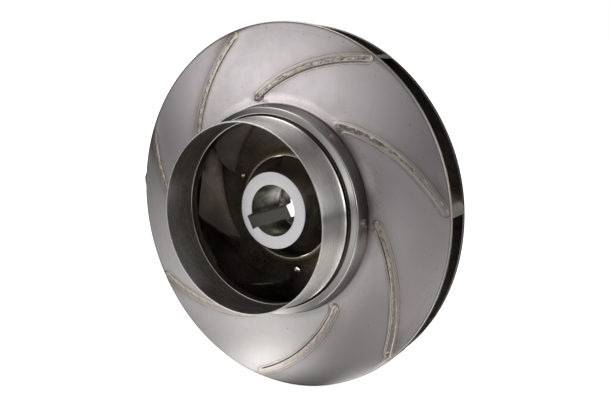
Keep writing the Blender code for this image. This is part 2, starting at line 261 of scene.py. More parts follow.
def fillet(before, corner, after, radius, steps):
    """Rounds the corner of a profile and gives the arc's points."""
    corner = Vector(corner)
    to_before = (Vector(before) - corner).normalized()
    to_after = (Vector(after) - corner).normalized()
    half = to_before.angle(to_after) / 2.0
    centre = corner + (to_before + to_after).normalized() * radius / math.sin(half)
    start = corner + to_before * radius / math.tan(half) - centre
    sweep = start.angle_signed(corner + to_after * radius / math.tan(half) - centre)
    arc = []
    for step in range(steps + 1):
        spoke = Matrix.Rotation(-sweep * step / steps, 2) @ start
        arc.append(tuple(centre + spoke))
    return arc


def rounded_profile(corners, steps=4):
    """A closed profile from (radius, height, fillet) corners."""
    points = []
    for index, (radius, height, rounding) in enumerate(corners):
        before = corners[index - 1][:2]
        after = corners[(index + 1) % len(corners)][:2]
        if rounding > 0.0:
            points += fillet(before, (radius, height), after, rounding, steps)
        else:
            points.append((radius, height))
    return points


def spaced(points, spacing):
    """Adds points along the straight runs of an open profile."""
    dense = [points[0]]
    for first, second in zip(points, points[1:]):
        run = Vector(second) - Vector(first)
        count = max(1, round(run.length / spacing))
        for step in range(1, count + 1):
            dense.append(tuple(Vector(first) + run * step / count))
    return dense


def offset_profile(points, distance):
    """Moves an open profile sideways, to the right of its run for a positive distance."""
    moved = []
    for index, point in enumerate(points):
        normals = []
        for first, second in ((index - 1, index), (index, index + 1)):
            if first >= 0 and second < len(points):
                run = (Vector(points[second]) - Vector(points[first])).normalized()
                normals.append(Vector((run.y, -run.x)))
        normal = sum(normals, Vector((0.0, 0.0))).normalized()
        stretch = 1.0 / max(normal.dot(normals[0]), 0.5)
        moved.append(tuple(Vector(point) + normal * distance * stretch))
    return moved


def profile_height(profile, radius):
    """Reads the height of a profile, whose radii grow, at one radius."""
    for (low, low_height), (high, high_height) in zip(profile, profile[1:]):
        if low <= radius <= high:
            share = (radius - low) / max(high - low, 1e-9)
            return low_height + (high_height - low_height) * share
    return profile[0][1] if radius < profile[0][0] else profile[-1][1]


def disc_height(radius):
    """Height of the front shroud's outer face on its disc, outside the neck."""
    inward = (OUTER_RADIUS - radius) / FRONT_RISE_SPAN
    return FRONT_RIM_HEIGHT + FRONT_RISE * inward - FRONT_EASE * inward ** 2


def disc_profile():
    """The front shroud's outer face, outside the neck."""
    steps = 24
    points = []
    for step in range(steps + 1):
        radius = DISC_START_RADIUS + (OUTER_RADIUS - DISC_START_RADIUS) * step / steps
        points.append((radius, disc_height(radius)))
    return points


def front_outer_profile():
    """Outer face of the front shroud: the spigot, groove, roll, neck and disc."""
    groove = (GROOVE_RADIUS, GROOVE_HEIGHT)
    roll_inner = (ROLL_INNER_RADIUS, ROLL_INNER_HEIGHT)
    roll_outer = (ROLL_OUTER_RADIUS, ROLL_OUTER_HEIGHT)
    foot = (NECK_FOOT_RADIUS, disc_height(NECK_FOOT_RADIUS))
    disc = disc_profile()
    spigot_top = (SPIGOT_OUTER_RADIUS, SPIGOT_HEIGHT)
    spigot_foot = (SPIGOT_OUTER_RADIUS + SPIGOT_TAPER, GROOVE_HEIGHT)
    points = [(SPIGOT_INNER_RADIUS, SPIGOT_HEIGHT), spigot_top]
    points += fillet(spigot_top, spigot_foot, groove, SPIGOT_FOOT_FILLET, 4)
    points += fillet(groove, roll_inner, roll_outer, ROLL_INNER_FILLET, 8)
    points += fillet(roll_inner, roll_outer, foot, ROLL_OUTER_FILLET, 10)
    points += fillet(roll_outer, foot, disc[0], NECK_FOOT_FILLET, 8)
    return points + disc


def front_inner_profile():
    """Inner face of the front shroud, from the neck's lip to the rim."""
    lip = (NECK_LIP_RADIUS, NECK_LIP_HEIGHT)
    shoulder = (NECK_SHOULDER_RADIUS, NECK_SHOULDER_HEIGHT)
    foot = (NECK_FOOT_RADIUS, disc_height(NECK_FOOT_RADIUS))
    disc = disc_profile()
    points = [lip]
    points += fillet(lip, shoulder, foot, NECK_SHOULDER_FILLET, 8)
    points += fillet(shoulder, foot, disc[0], NECK_FOOT_FILLET, 8)
    return offset_profile(spaced(points + disc, PROFILE_SPACING), FRONT_SHEET)


def back_height(radius):
    """Height of the back shroud's inner face, which the vanes stand on."""
    span = BACK_FLAT_RADIUS - BACK_HOLE_RADIUS
    share = min(1.0, max(0.0, (radius - BACK_HOLE_RADIUS) / span))
    return BACK_FLAT_HEIGHT + BACK_DISH_RISE * (1.0 - share) ** BACK_DISH_POWER


def back_inner_profile():
    """Inner face of the back shroud, from the hub to the rim."""
    points = []
    steps = 48
    for step in range(steps + 1):
        radius = BACK_HOLE_RADIUS + (BACK_RIM_RADIUS - BACK_HOLE_RADIUS) * step / steps
        points.append((radius, back_height(radius)))
    return points


def seam_angle(radius):
    """Angle of the first weld seam about the axis at one radius."""
    slope = 1.0 / math.tan(BLADE_ANGLE)
    outer = max(radius, KNEE_RADIUS)
    angle = VANE_TIP_ANGLE + slope * math.log(OUTER_RADIUS / outer)
    if radius < KNEE_RADIUS:
        steepened = slope + KNEE_FLATTENING * KNEE_RADIUS
        angle += steepened * math.log(KNEE_RADIUS / radius)
        angle -= KNEE_FLATTENING * (KNEE_RADIUS - radius)
    return angle


def vane_angle(radius):
    """Angle of the first vane, which leads its seam a little at the rim."""
    share = max(0.0, (radius - VANE_LEAD_RADIUS) / (OUTER_RADIUS - VANE_LEAD_RADIUS))
    return seam_angle(radius) + VANE_TIP_LEAD * share ** 2


def point_beside(angle_at, radius, turn, sideways):
    """A point beside a line about the axis, as (across, up) seen from the eye."""
    step = 0.00005
    here = angle_at(radius) + turn
    ahead = angle_at(radius + step) + turn
    middle = Vector((radius * math.cos(here), radius * math.sin(here)))
    further = Vector(((radius + step) * math.cos(ahead), (radius + step) * math.sin(ahead)))
    run = (further - middle).normalized()
    return middle + Vector((run.y, -run.x)) * sideways


def new_piece(name, builder, material, slot, *nodes):
    """Makes a smooth-shaded piece that rides on the impeller and stands for CAD nodes."""
    bmesh.ops.recalc_face_normals(builder, faces=builder.faces[:])
    if builder.calc_volume(signed=True) < 0.0:
        bmesh.ops.reverse_faces(builder, faces=builder.faces[:])
    mesh = bpy.data.meshes.new(name)
    builder.to_mesh(mesh)
    builder.free()
    mesh.materials.append(material)
    mesh.shade_smooth()
    mesh.set_sharp_from_angle(angle=SHARP_ANGLE)
    piece = bpy.data.objects.new(name, mesh)
    bpy.context.scene.collection.objects.link(piece)
    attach(piece, "root")
    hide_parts(*nodes)
    return piece


def ring_builder(rings):
    """Joins closed rings of points, each to the next and the last to the first."""
    builder = bmesh.new()
    rings = [[builder.verts.new(point) for point in ring] for ring in rings]
    for ring, following in zip(rings, rings[1:] + rings[:1]):
        for index in range(len(ring)):
            after = (index + 1) % len(ring)
            builder.faces.new((ring[index], ring[after], following[after], following[index]))
    return builder


def turned_builder(profile, columns):
    """Turns a closed profile; columns are functions that give an angle for a radius."""
    rings = []
    for angle_at in columns:
        rings.append([place_at(radius, angle_at(radius), height) for radius, height in profile])
    return ring_builder(rings)


def even_columns(count):
    """Columns at equal angles."""
    return [lambda radius, angle=2.0 * math.pi * step / count: angle for step in range(count)]


def slab_builder(rows, columns, place):
    """A closed slab: place(u, v, w) gives the point for shares from 0 to 1."""
    builder = bmesh.new()
    bmesh.ops.create_grid(builder, x_segments=rows, y_segments=columns, size=0.5)
    raised = bmesh.ops.extrude_face_region(builder, geom=builder.faces[:])
    tops = [part for part in raised["geom"] if isinstance(part, bmesh.types.BMVert)]
    bmesh.ops.translate(builder, verts=tops, vec=(0.0, 0.0, 1.0))
    for vertex in builder.verts:
        vertex.co = place(vertex.co.x + 0.5, vertex.co.y + 0.5, vertex.co.z)
    return builder


def cut_away(piece, cutter):
    """Cuts a piece with a cutter and removes the cutter."""
    boolean = piece.modifiers.new("cut", "BOOLEAN")
    boolean.operation = "DIFFERENCE"
    boolean.solver = "EXACT"
    boolean.object = cutter
    graph = bpy.context.evaluated_depsgraph_get()
    mesh = bpy.data.meshes.new_from_object(piece.evaluated_get(graph))
    mesh.name = piece.data.name + "_cut"
    piece.modifiers.clear()
    piece.data = mesh
    mesh.set_sharp_from_angle(angle=SHARP_ANGLE)
    bpy.data.objects.remove(cutter, do_unlink=True)


class Nodes:
    """Short calls for building a tree of shader nodes."""

    def __init__(self, tree):
        self.tree = tree

    def node(self, kind, **settings):
        """Adds a node and sets its properties."""
        made = self.tree.nodes.new(kind)
        for name, value in settings.items():
            setattr(made, name, value)
        return made

    def feed(self, socket, source):
        """Links a socket, or sets it to a plain value."""
        if isinstance(source, bpy.types.NodeSocket):
            self.tree.links.new(source, socket)
        else:
            socket.default_value = source

    def math(self, operation, *values):
        """One arithmetic step."""
        made = self.node("ShaderNodeMath", operation=operation)
        for index, value in enumerate(values):
            self.feed(made.inputs[index], value)
        return made.outputs[0]

    def plus(self, first, second):
        """The sum of two values."""
        return self.math("ADD", first, second)

    def minus(self, first, second):
        """The first value less the second."""
        return self.math("SUBTRACT", first, second)

    def times(self, first, second):
        """The product of two values."""
        return self.math("MULTIPLY", first, second)

    def over(self, first, second):
        """The first value divided by the second."""
        return self.math("DIVIDE", first, second)

    def larger(self, first, second):
        """The larger of two values."""
        return self.math("MAXIMUM", first, second)

    def logarithm(self, value):
        """The natural logarithm."""
        return self.math("LOGARITHM", value, math.e)


class Graph(Nodes):
    """Short calls for building one metal's nodes, placed about the shaft."""

    def __init__(self, name):
        self.material = bpy.data.materials.new(name)
        self.material.use_nodes = True
        super().__init__(self.material.node_tree)
        self.shader = self.tree.nodes["Principled BSDF"]
        coordinates = self.node("ShaderNodeTexCoord")
        self.place = coordinates.outputs["Object"]
        self.normal = coordinates.outputs["Normal"]
        self.across, depth, self.up = self.parts(self.place)
        self.height = self.times(depth, -1.0)
        self.radius = self.hypotenuse(self.across, self.up)
        self.angle = self.math("ARCTAN2", self.up, self.across)
        self.colour = None

    def parts(self, vector):
        """The three parts of a vector."""
        made = self.node("ShaderNodeSeparateXYZ")
        self.feed(made.inputs[0], vector)
        return made.outputs["X"], made.outputs["Y"], made.outputs["Z"]

    def hypotenuse(self, first, second):
        """Square root of the sum of two squares."""
        squares = self.plus(self.times(first, first), self.times(second, second))
        return self.math("SQRT", squares)

    def ramp(self, source, low, high, start=0.0, end=1.0):
        """Maps low..high smoothly to start..end, held at both ends."""
        made = self.node("ShaderNodeMapRange", interpolation_type="SMOOTHSTEP")
        for index, value in enumerate((source, low, high, start, end)):
            self.feed(made.inputs[index], value)
        return made.outputs["Result"]

    def band(self, source, middle, half_width):
        """1 at the middle, falling to 0 half a width away on both sides."""
        away = self.math("ABSOLUTE", self.minus(source, middle))
        return self.ramp(away, 0.0, half_width, 1.0, 0.0)

    def scaled(self, sizes, place=None):
        """Position with each of its parts divided by a size."""
        made = self.node("ShaderNodeVectorMath", operation="MULTIPLY")
        self.feed(made.inputs[0], place or self.place)
        self.feed(made.inputs[1], tuple(1.0 / size for size in sizes))
        return made.outputs[0]

    def noise(self, size, detail=2.0, roughness=0.5, stretch=(1.0, 1.0, 1.0), place=None):
        """Smooth noise whose features are about one size across, in metres."""
        made = self.node("ShaderNodeTexNoise")
        self.feed(made.inputs["Vector"], self.scaled([size * axis for axis in stretch], place))
        made.inputs["Scale"].default_value = 1.0
        made.inputs["Detail"].default_value = detail
        made.inputs["Roughness"].default_value = roughness
        return made.outputs["Fac"]

    def specks(self, size, keep, largest=0.2):
        """Small scattered dots: 1 inside a dot, for a share of the cells."""
        made = self.node("ShaderNodeTexVoronoi")
        self.feed(made.inputs["Vector"], self.scaled((size, size, size)))
        made.inputs["Scale"].default_value = 1.0
        draws = self.node("ShaderNodeSeparateColor")
        self.feed(draws.inputs[0], made.outputs["Color"])
        chosen = self.math("LESS_THAN", draws.outputs[0], keep)
        limit = self.times(draws.outputs[1], largest)
        return self.times(self.math("LESS_THAN", made.outputs["Distance"], limit), chosen)

    def polar(self):
        """Position unrolled about the shaft: (radius, arc length, height)."""
        made = self.node("ShaderNodeCombineXYZ")
        self.feed(made.inputs[0], self.radius)
        self.feed(made.inputs[1], self.times(self.angle, UNROLLED_RADIUS))
        self.feed(made.inputs[2], self.height)
        return made.outputs[0]

    def seam_distance(self):
        """Signed distance from the nearest vane's line, below 0 on the axis side."""
        slope = 1.0 / math.tan(BLADE_ANGLE)
        steepened = slope + KNEE_FLATTENING * KNEE_RADIUS
        outer = self.larger(self.radius, KNEE_RADIUS)
        inner = self.math("MINIMUM", self.radius, KNEE_RADIUS)
        inner = self.larger(inner, VANE_ROOT_RADIUS)
        swirl = self.times(slope, self.logarithm(self.over(OUTER_RADIUS, outer)))
        bend = self.times(steepened, self.logarithm(self.over(KNEE_RADIUS, inner)))
        ease = self.times(KNEE_FLATTENING, self.minus(KNEE_RADIUS, inner))
        swirl = self.plus(swirl, self.minus(bend, ease))
        lag = self.minus(self.minus(self.angle, VANE_TIP_ANGLE), swirl)
        turns = self.math("ROUND", self.over(lag, -VANE_PITCH))
        self.seam = self.plus(self.math("FLOORED_MODULO", turns, VANE_COUNT), 1.0)
        lag = self.math("WRAP", lag, VANE_PITCH / 2.0, -VANE_PITCH / 2.0)
        return self.times(self.times(lag, self.radius), math.sin(BLADE_ANGLE))

    def by_seam(self, column):
        """One column of the seams' table, for the nearest seam."""
        total = 0.0
        for index, row in enumerate(SEAM_LOOKS):
            here = self.math("COMPARE", self.seam, index + 1.0, 0.5)
            total = self.math("MULTIPLY_ADD", here, row[column], total)
        return total

    def along_seam(self, aside, inner_radius):
        """Distance along the nearest seam from its inner end."""
        level = self.minus(self.radius, self.times(aside, math.cos(BLADE_ANGLE)))
        return self.over(self.minus(level, inner_radius), math.sin(BLADE_ANGLE))

    def past_ends(self, aside, inner_radius, outer_radius, inset):
        """How far past a seam's ends, moved inward along it by an inset."""
        along = self.along_seam(aside, inner_radius)
        length = (outer_radius - inner_radius) / math.sin(BLADE_ANGLE)
        inner = self.larger(self.minus(inset, along), 0.0)
        outer = self.larger(self.minus(along, length - inset), 0.0)
        return inner, outer

    def tint_outline(self, aside, inner_radius, outer_radius):
        """Distance from the middle of a seam's heat tint, which closes round its ends."""
        ends = self.past_ends(aside, inner_radius, outer_radius, TINT_TAPER)
        return self.hypotenuse(aside, self.times(self.larger(*ends), TINT_CLOSING))

    def pits(self, aside, outer_radius):
        """The small craters in the front beads: 1 inside them."""
        along = self.times(self.along_seam(aside, outer_radius), -1.0)
        total = 0.0
        for seam, middle, beside, length, width in CRATERS:
            far = self.hypotenuse(self.over(self.minus(along, middle), length),
                                  self.over(self.minus(aside, beside), width))
            pit = self.ramp(far, 0.5, 1.1, 1.0, 0.0)
            here = self.math("COMPARE", self.seam, float(seam), 0.5)
            total = self.larger(total, self.times(pit, here))
        return total

    def blend(self, share, first, second):
        """Mixes two colours."""
        made = self.node("ShaderNodeMix", data_type="RGBA")
        self.feed(made.inputs["Factor"], share)
        self.feed(made.inputs[6], first)
        self.feed(made.inputs[7], second)
        return made.outputs[2]

    def paint(self, share, red, green, blue):
        """Covers a share of the metal with a colour."""
        self.colour = self.blend(share, self.colour, rgb(red, green, blue))

    def bump(self, height, distance):
        """Small relief: distance is the real height of the bumps, in metres."""
        made = self.node("ShaderNodeBump")
        made.inputs["Distance"].default_value = distance
        self.feed(made.inputs["Height"], height)
        return made.outputs[0]

    def finish(self, roughness, relief, anisotropy=0.0):
        """Joins the results to the metal's shader; anisotropy is for lines run round."""
        self.feed(self.shader.inputs["Base Color"], self.colour)
        self.feed(self.shader.inputs["Roughness"], roughness)
        self.feed(self.shader.inputs["Normal"], relief)
        self.shader.inputs["Metallic"].default_value = 1.0
        if anisotropy:
            self.shader.inputs["Anisotropic"].default_value = anisotropy
            self.shader.inputs["Anisotropic Rotation"].default_value = 0.25
            around = self.node("ShaderNodeTangent", direction_type="RADIAL", axis="Y")
            self.feed(self.shader.inputs["Tangent"], around.outputs[0])
        return self.material


def rgb(red, green, blue):
    """A colour with full alpha."""
    return (red, green, blue, 1.0)


def tint_by_heat(graph, aside, patchy):
    """Adds heat tint along the front seams: pale inside, a brown line and a warm fringe."""
    wander = graph.times(graph.minus(graph.noise(0.004), 0.5), 0.0008)
    outline = graph.tint_outline(aside, FRONT_BEAD_INNER_RADIUS, BEAD_OUTER_RADIUS)
    outline = graph.plus(outline, wander)
    fringe = graph.ramp(outline, TINT_OFFSET, TINT_FRINGE_OFFSET, 0.24, 0.0)
    graph.paint(fringe, 0.470, 0.395, 0.345)
    inside = graph.ramp(outline, TINT_OFFSET - 0.0006, TINT_OFFSET, 0.75, 0.0)
    graph.paint(inside, 0.640, 0.585, 0.525)
    line = graph.band(outline, TINT_OFFSET, 0.00044)
    line = graph.times(line, graph.ramp(patchy, 0.30, 0.60, 0.25, 0.75))
    graph.paint(line, 0.250, 0.190, 0.150)
    spot = graph.times(graph.minus(graph.radius, TINT_SPOT_RADIUS), 0.8)
    spot = graph.hypotenuse(graph.minus(aside, TINT_SPOT_OFFSET), spot)
    spot = graph.ramp(graph.plus(spot, wander), 0.0006, 0.0050, 0.36, 0.0)
    graph.paint(spot, 0.340, 0.255, 0.195)


def paint_crevice_shade(graph, aside, patchy):
    """Paints shade into the crevice beside each front seam, which ends before the rim."""
    inner = graph.past_ends(aside, FRONT_BEAD_INNER_RADIUS, BEAD_OUTER_RADIUS,
                            BEAD_HALF_WIDTH)[0]
    groove = graph.band(graph.hypotenuse(aside, inner), -CREVICE_OFFSET, 0.00046)
    groove = graph.times(groove, graph.ramp(aside, 0.0, 0.0012, 1.0, 0.40))
    to_end = graph.along_seam(aside, BEAD_OUTER_RADIUS)
    groove = graph.times(groove, graph.ramp(to_end, -0.0040, -0.0024, 1.0, 0.0))
    groove = graph.times(groove, graph.ramp(patchy, 0.32, 0.62, 0.60, 1.0))
    groove = graph.times(groove, graph.by_seam(0))
    # The crevice's dark colour is painted shade.
    graph.paint(groove, 0.068, 0.046, 0.034)


def finish_and_shade_neck(graph):
    """Adds the turned neck: a plain roll, with painted shade on its outer side, at its foot and
    in the groove beside the ring.
    """
    neck = graph.ramp(graph.radius, *NECK_ZONE, 1.0, 0.0)
    graph.paint(neck, 0.610, 0.595, 0.570)
    # Painted shade on the roll's outer side.
    flank = graph.times(graph.ramp(graph.radius, *FLANK_ZONE, 0.0, 0.60), neck)
    graph.paint(flank, 0.400, 0.360, 0.335)
    # Painted shade, brown, at the neck's foot, fading out across the disc.
    foot = graph.ramp(graph.radius, *FOOT_ZONE, 0.0, 0.90)
    foot = graph.times(foot, graph.ramp(graph.radius, *FOOT_EDGE_ZONE, 1.0, 0.35))
    foot = graph.times(foot, graph.ramp(graph.radius, *FOOT_SHADE_ZONE, 1.0, 0.0))
    graph.paint(foot, 0.200, 0.165, 0.145)
    # Painted shade in the groove beside the ring.
    trench = graph.ramp(graph.radius, *TRENCH_ZONE, 0.85, 0.0)
    graph.paint(trench, 0.140, 0.120, 0.100)


def pressed_sheet_material():
    """Pickled stainless sheet, turned smooth at the neck, with heat tint along the seams, and
    with painted shade and painted highlight at the neck, in the seams' crevices and at the rim.
    """
    graph = Graph("pressed_sheet_steel")
    cloud = graph.noise(0.030, detail=3.0, roughness=0.55)
    mottle = graph.noise(0.0045, detail=4.0, roughness=0.60)
    grain = graph.noise(0.0008, detail=2.0, roughness=0.6)
    patchy = graph.noise(0.006, detail=3.0, roughness=0.6)
    clouded = graph.ramp(cloud, 0.35, 0.65)
    upper = graph.blend(clouded, rgb(0.620, 0.570, 0.582), rgb(0.647, 0.600, 0.615))
    lower = graph.blend(clouded, rgb(0.615, 0.588, 0.575), rgb(0.645, 0.620, 0.608))
    graph.colour = graph.blend(graph.ramp(graph.up, *HUE_ZONE), lower, upper)
    mottled = graph.ramp(mottle, 0.42, 0.72, 0.0, 0.12)
    graph.paint(mottled, 0.500, 0.455, 0.450)
    grained = graph.ramp(grain, 0.35, 0.75, 0.0, 0.13)
    graph.paint(grained, 0.400, 0.365, 0.360)
    aside = graph.seam_distance()
    tint_by_heat(graph, aside, patchy)
    paint_crevice_shade(graph, aside, patchy)
    dots = graph.larger(graph.specks(0.0070, 0.09, 0.14), graph.specks(0.0030, 0.26, 0.17))
    graph.paint(graph.times(dots, 0.42), 0.190, 0.160, 0.150)
    # A thin line of painted shade where the rim's rounded edge starts.
    brink = graph.times(graph.band(graph.radius, *BRINK_LINE), 0.70)
    graph.paint(brink, 0.240, 0.195, 0.170)
    faint = graph.times(graph.band(graph.radius, *FAINT_LINE),
                        graph.ramp(cloud, 0.45, 0.60, 0.0, 0.30))
    graph.paint(faint, 0.420, 0.385, 0.380)
    finish_and_shade_neck(graph)
    # A painted highlight on the rim's rounded corner and edge, which are also made rougher.
    corner = graph.ramp(graph.radius, *RIM_CORNER_ZONE)
    graph.paint(corner, 0.760, 0.700, 0.630)
    roughness = graph.ramp(mottle, 0.30, 0.70, 0.275, 0.295)
    roughness = graph.plus(roughness, graph.times(corner, 0.20))
    roughness = graph.minus(roughness, graph.ramp(graph.radius, *SMOOTH_ZONE, 0.08, 0.0))
    return graph.finish(roughness, graph.bump(grain, 0.000004))


def turned_ring_material():
    """Fine turned stainless: grooves run round the ring, which is painted lighter outside, as a
    sheen, and darker inside, as shade.
    """
    graph = Graph("turned_ring_steel")
    lines = graph.noise(0.0005, detail=3.0, roughness=0.7, stretch=(1.0, 60.0, 0.35),
                        place=graph.polar())
    lined = graph.ramp(lines, 0.3, 0.7)
    # Painted shade inside and painted sheen outside: the same steel in two brightnesses.
    inside_shade = graph.blend(lined, rgb(0.600, 0.590, 0.560), rgb(0.700, 0.690, 0.660))
    bright = graph.blend(lined, rgb(0.830, 0.815, 0.780), rgb(0.930, 0.920, 0.890))
    graph.colour = graph.blend(graph.ramp(graph.radius, *RING_OUTSIDE_ZONE), inside_shade, bright)
    cloud = graph.ramp(graph.noise(0.015, detail=3.0), 0.45, 0.70, 0.0, 0.30)
    graph.paint(cloud, 0.560, 0.545, 0.510)
    dots = graph.times(graph.specks(0.0030, 0.07), 0.65)
    graph.paint(dots, 0.160, 0.140, 0.120)
    roughness = graph.ramp(lines, 0.3, 0.7, 0.22, 0.28)
    return graph.finish(roughness, graph.bump(lines, 0.000003), anisotropy=0.85)


def hub_material():
    """Turned hub: a bright faced end, a cone painted dark brown as shade and a stained bore."""
    graph = Graph("turned_hub_steel")
    lines = graph.noise(0.0005, detail=2.0, stretch=(0.5, 80.0, 1.0), place=graph.polar())
    speckle = graph.ramp(graph.noise(0.0010, detail=2.0, roughness=0.6), 0.35, 0.65)
    faced = graph.blend(speckle, rgb(0.900, 0.885, 0.900), rgb(0.960, 0.945, 0.960))
    # The cone, flange and boss are painted dark brown: painted shade.
    turned = graph.blend(lines, rgb(0.330, 0.295, 0.260), rgb(0.400, 0.365, 0.325))
    stain = graph.noise(0.0045, detail=4.0, roughness=0.65)
    stain = graph.ramp(stain, 0.42, 0.62, 0.0, 0.75)
    bored = graph.blend(lines, rgb(0.660, 0.640, 0.560), rgb(0.760, 0.740, 0.660))
    bored = graph.blend(stain, bored, rgb(0.350, 0.320, 0.240))
    graph.colour = graph.blend(graph.ramp(graph.radius, *BORE_ZONE, 1.0, 0.0), turned, bored)
    face = graph.ramp(graph.height, *HUB_FACE_ZONE)
    graph.colour = graph.blend(face, graph.colour, faced)
    roughness = graph.ramp(face, 0.0, 1.0, 0.24, 0.45)
    return graph.finish(roughness, graph.bump(lines, 0.000005))


def vane_material():
    """Rolled sheet, painted dark as shade, darker brown towards its foot, with paler outer ends
    painted as highlight.
    """
    graph = Graph("vane_sheet_steel")
    cloud = graph.noise(0.012, detail=3.0)
    clouded = graph.ramp(cloud, 0.35, 0.65)
    # The vanes' colour is painted shade, much darker than the shrouds' sheet.
    graph.colour = graph.blend(clouded, rgb(0.300, 0.268, 0.240), rgb(0.380, 0.345, 0.312))
    foot = graph.ramp(graph.height, *VANE_FOOT_ZONE, 0.45, 0.0)
    graph.paint(foot, 0.200, 0.140, 0.105)
    # A painted highlight on the vanes' outer ends, which are also made rougher.
    end = graph.ramp(graph.radius, *VANE_END_ZONE)
    graph.paint(end, 0.640, 0.600, 0.540)
    grain = graph.noise(0.0015, detail=3.0, roughness=0.65)
    roughness = graph.ramp(grain, 0.3, 0.7, 0.22, 0.25)
    roughness = graph.plus(roughness, graph.times(end, 0.25))
    return graph.finish(roughness, graph.bump(cloud, 0.000020))


def back_sheet_material():
    """The back shroud: painted dark inside as shade, tinted round the hub's weld and along the
    seams.
    """
    graph = Graph("back_sheet_steel")
    clouded = graph.ramp(graph.noise(0.02, detail=3.0), 0.35, 0.65)
    mottle = graph.noise(0.003, detail=4.0, roughness=0.65)
    # The inner face is painted darker than the outer face: painted shade inside the impeller.
    inner_face = graph.blend(clouded, rgb(0.400, 0.365, 0.345), rgb(0.480, 0.445, 0.425))
    outer_face = graph.blend(clouded, rgb(0.615, 0.580, 0.572), rgb(0.645, 0.612, 0.605))
    outside = graph.ramp(graph.parts(graph.normal)[1], 0.30, 0.60)
    graph.colour = graph.blend(outside, inner_face, outer_face)
    aside = graph.seam_distance()
    outline = graph.tint_outline(aside, REAR_BEAD_INNER_RADIUS, REAR_BEAD_OUTER_RADIUS)
    fringe = graph.ramp(outline, 0.0010, 0.0060, 0.45, 0.0)
    graph.paint(fringe, 0.330, 0.250, 0.190)
    line = graph.times(graph.band(outline, TINT_OFFSET, 0.0005), 0.6)
    graph.paint(line, 0.250, 0.190, 0.150)
    wavering = graph.plus(graph.radius, graph.times(mottle, 0.003))
    hub_heat = graph.ramp(wavering, *HUB_HEAT_ZONE, 0.80, 0.0)
    graph.paint(hub_heat, 0.520, 0.450, 0.350)
    # Painted shade on the inner face towards the rim, in the gap between the shrouds.
    rim = graph.ramp(graph.radius, *BACK_RIM_ZONE, 0.0, 0.60)
    rim = graph.times(rim, graph.minus(1.0, outside))
    graph.paint(rim, 0.150, 0.140, 0.110)
    edge = graph.times(graph.band(wavering, *HUB_HEAT_LINE), 0.45)
    graph.paint(edge, 0.230, 0.160, 0.110)
    roughness = graph.ramp(mottle, 0.3, 0.7, 0.26, 0.33)
    return graph.finish(roughness, graph.bump(mottle, 0.000006))


def weld_material(name, inner_radius, outer_radius):
    """A weld bead: smooth straw metal with a mottled brown middle, and painted highlights along
    an edge and at its ends.
    """
    graph = Graph(name)
    aside = graph.seam_distance()
    blotch = graph.noise(0.0026, detail=4.0, roughness=0.7)
    fine = graph.noise(0.0007, detail=3.0, roughness=0.6)
    graph.colour = graph.blend(graph.ramp(fine, 0.35, 0.65), rgb(0.540, 0.475, 0.415),
                               rgb(0.620, 0.560, 0.500))
    over = graph.larger(*graph.past_ends(aside, inner_radius, outer_radius, BEAD_HALF_WIDTH))
    from_axis = graph.hypotenuse(aside, over)
    soot = graph.times(graph.by_seam(1), graph.band(aside, *SOOT_BAND))
    spatter = graph.ramp(graph.noise(0.0013, detail=3.0), 0.50, 0.60, 0.0, 0.85)
    dark = graph.larger(graph.ramp(blotch, 0.34, 0.58), spatter)
    graph.paint(graph.times(dark, soot), 0.230, 0.180, 0.145)
    burnt = graph.times(graph.band(from_axis, BEAD_HALF_WIDTH, 0.00025), 0.55)
    graph.paint(burnt, 0.270, 0.210, 0.165)
    # A painted highlight along each bead's edge and round its ends, and on the ball at its
    # inner end.
    axis_side = graph.ramp(aside, -0.0006, 0.0002, 1.0, 0.0)
    lip = graph.plus(graph.times(graph.by_seam(2), axis_side),
                     graph.times(graph.by_seam(3), graph.minus(1.0, axis_side)))
    lip = graph.larger(lip, graph.ramp(over, 0.0, LIP_END_REACH, 0.0, 0.85))
    lip = graph.times(lip, graph.band(from_axis, LIP_OFFSET, 0.0004))
    ball = graph.ramp(graph.minus(graph.radius, inner_radius), 0.0002, 0.0014, 0.8, 0.0)
    graph.paint(graph.larger(lip, ball), 0.860, 0.820, 0.770)
    pits = graph.times(graph.pits(aside, outer_radius), 0.92)
    graph.paint(pits, 0.100, 0.075, 0.060)
    roughness = graph.ramp(blotch, 0.35, 0.65, 0.24, 0.32)
    roughness = graph.plus(roughness, graph.times(lip, 0.12))
    return graph.finish(roughness, graph.bump(fine, 0.000008))


def hub_weld_material():
    """The weld round the hub: a painted highlight along its inner edge and a scaly brown bead.
    """
    graph = Graph("hub_weld_steel")
    scale = graph.noise(0.0008, detail=3.0, roughness=0.7)
    patch = graph.ramp(graph.noise(0.0050, detail=3.0, roughness=0.6), 0.45, 0.65, 0.0, 0.5)
    graph.colour = graph.blend(graph.ramp(scale, 0.35, 0.60), rgb(0.640, 0.560, 0.440),
                               rgb(0.360, 0.290, 0.215))
    graph.paint(patch, 0.480, 0.410, 0.320)
    # A painted highlight along the bead's edge by the flange.
    edge = graph.ramp(graph.radius, *HUB_BEAD_EDGE_ZONE, 1.0, 0.0)
    graph.paint(edge, 0.820, 0.770, 0.680)
    roughness = graph.ramp(scale, 0.3, 0.7, 0.36, 0.50)
    return graph.finish(roughness, graph.bump(scale, 0.00005))


